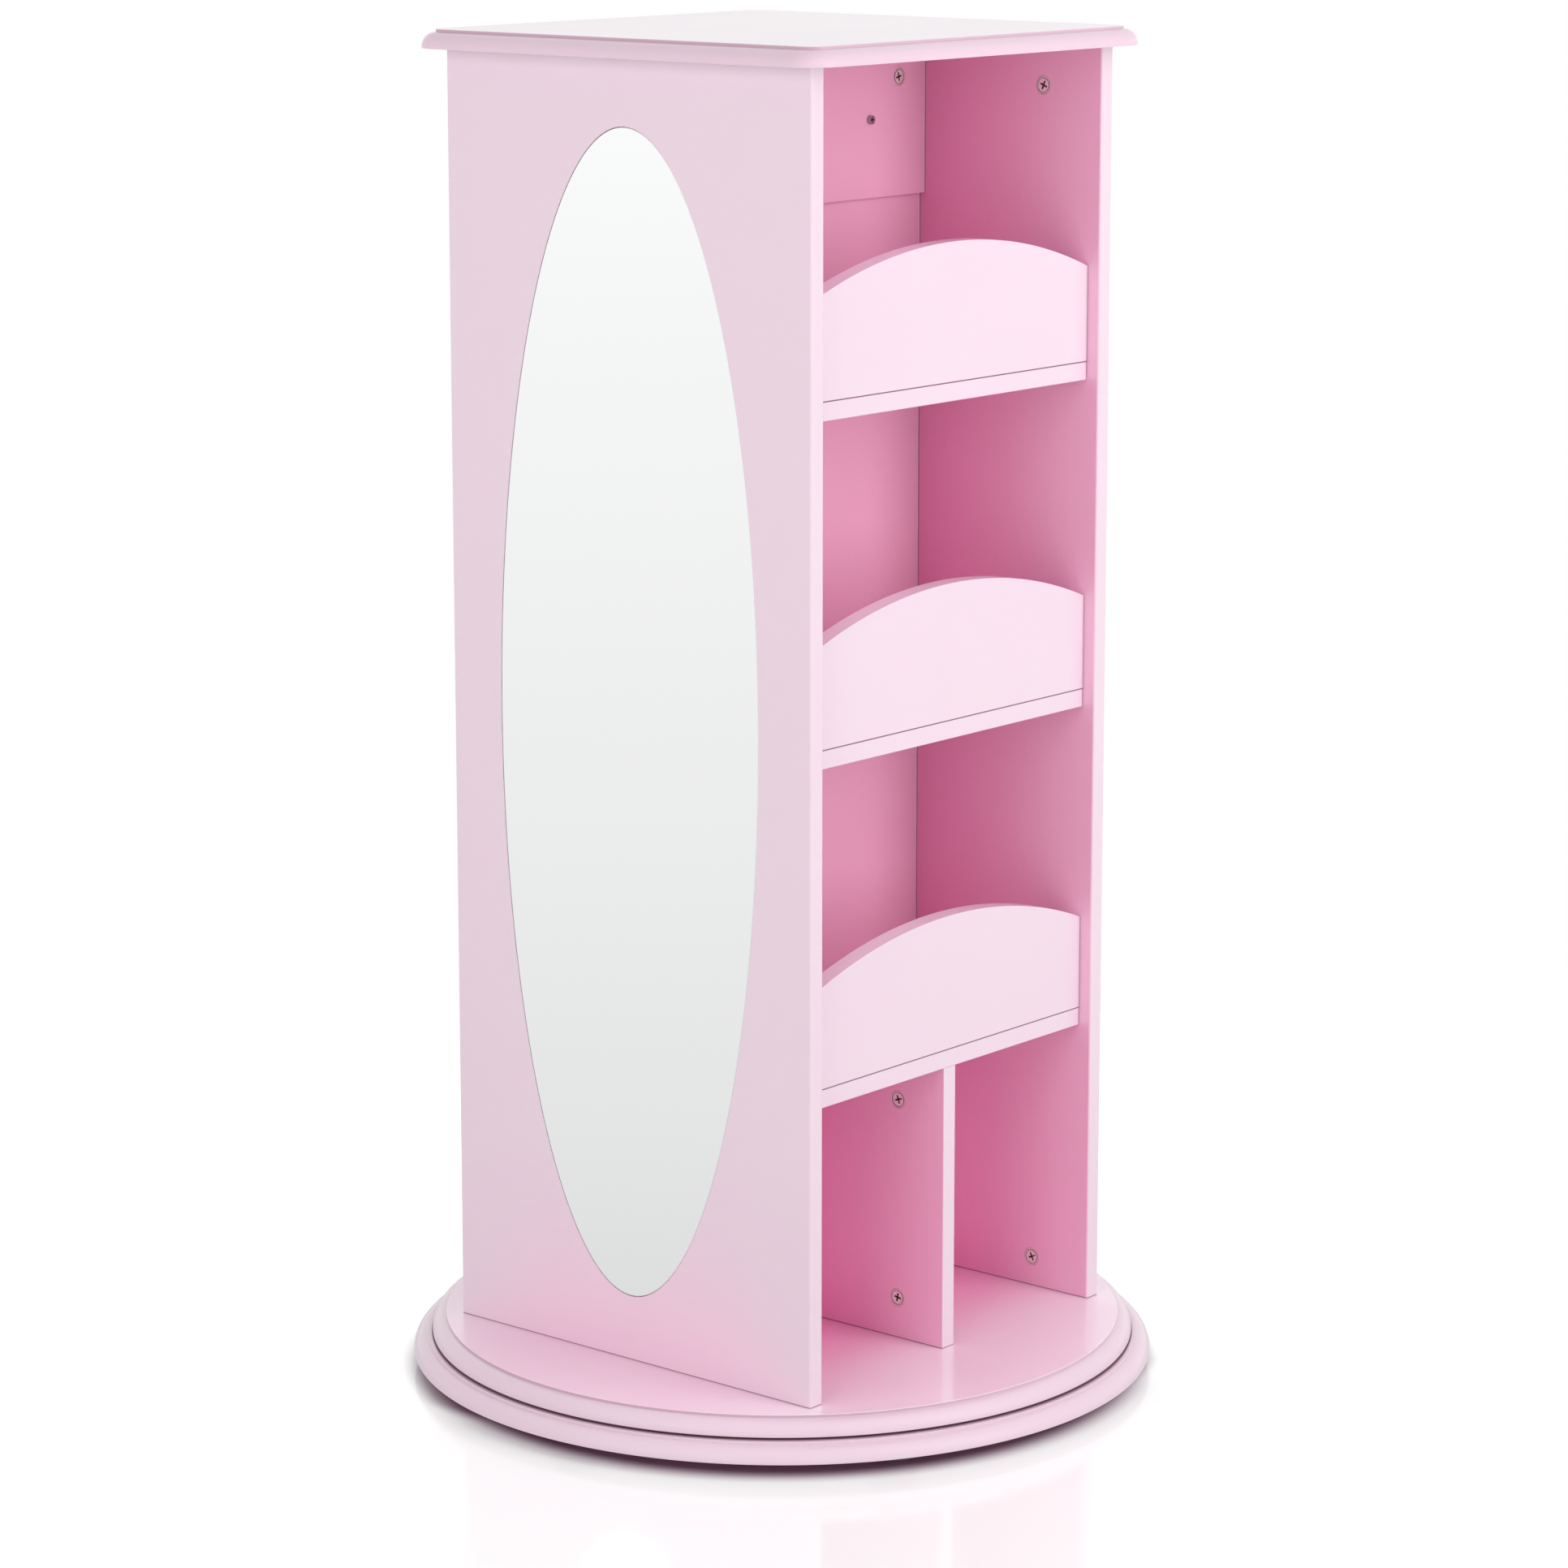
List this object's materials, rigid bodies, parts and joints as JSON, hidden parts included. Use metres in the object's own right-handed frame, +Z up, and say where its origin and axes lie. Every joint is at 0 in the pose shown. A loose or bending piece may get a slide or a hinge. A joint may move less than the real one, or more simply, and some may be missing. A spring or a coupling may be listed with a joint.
{
  "type": "revolving wardrobe cabinet",
  "caption": "Tall open cabinet that turns on a round two-disc base, with an oval mirror on one side, lipped shelves over cubbies on the next and a hanging space with pegs behind.",
  "frame": {"origin": "on the floor, at the middle of the round base, on the axis that the cabinet turns about", "axes": "+Z up along the turning axis; -Y is the shelf side, +Y the hanging side, -X the mirror side"},
  "size_m": [0.613, 0.613, 1.1015],
  "materials": {
    "pink_lacquer": "satin lacquered MDF, pale candy pink",
    "mirror_glass": "silvered float glass",
    "foam_tape": "white closed-cell foam",
    "zinc": "die-cast zinc, satin",
    "plated_steel": "zinc-plated steel",
    "bearing_alloy": "machined, bare",
    "ball_steel": "polished bearing steel",
    "cage_nylon": "natural nylon",
    "beech": "bare beech",
    "foot_plastic": "dark grey moulded plastic"
  },
  "bodies": {
    "stand": {"lower_disc": "pink_lacquer", "feet": "foot_plastic", "foot_screws": "plated_steel", "outer_race_ring": "bearing_alloy", "outer_ring_screws": "plated_steel"},
    "ball_set": {"bearing_balls": "ball_steel", "ball_cage": "cage_nylon"},
    "carousel": {"inner_race_ring": "bearing_alloy", "inner_ring_screws": "plated_steel", "upper_disc": "pink_lacquer", "mirror_side_panel": "pink_lacquer", "plain_side_panel": "pink_lacquer", "oval_mirror": "mirror_glass", "mirror_tape": "foam_tape", "back_panel": "pink_lacquer", "top_rail": "pink_lacquer", "top_panel": "pink_lacquer", "lower_shelf": "pink_lacquer", "lower_lip": "pink_lacquer", "middle_shelf": "pink_lacquer", "middle_lip": "pink_lacquer", "upper_shelf": "pink_lacquer", "upper_lip": "pink_lacquer", "cubby_divider": "pink_lacquer", "coat_peg_1": "pink_lacquer", "coat_peg_2": "pink_lacquer", "coat_peg_3": "pink_lacquer", "peg_screws": "plated_steel", "mirror_side_panel_cams": "zinc", "plain_side_panel_cams": "zinc", "divider_cams": "zinc", "rail_cams": "zinc", "lower_shelf_cams": "zinc", "middle_shelf_cams": "zinc", "upper_shelf_cams": "zinc", "top_panel_bolts": "plated_steel", "upper_disc_bolts": "plated_steel", "lower_shelf_bolts": "plated_steel", "mirror_side_panel_bolts": "plated_steel", "plain_side_panel_bolts": "plated_steel", "side_panel_dowels": "beech", "shelf_dowels": "beech", "lip_dowels": "beech", "divider_dowels": "beech", "rail_dowels": "beech"}
  },
  "joints": [
    {"name": "carousel_spin", "type": "hinge", "parent": "stand", "child": "carousel", "pos_m": [0, 0, 0.02875], "axis": [0, 0, 1], "continuous": true},
    {"name": "ball_set_spin", "type": "hinge", "parent": "stand", "child": "ball_set", "pos_m": [0, 0, 0.02875], "axis": [0, 0, 1], "continuous": true}
  ],
  "couplings": [
    {"joint": "ball_set_spin", "follows": "carousel_spin", "ratio": 0.5}
  ]
}
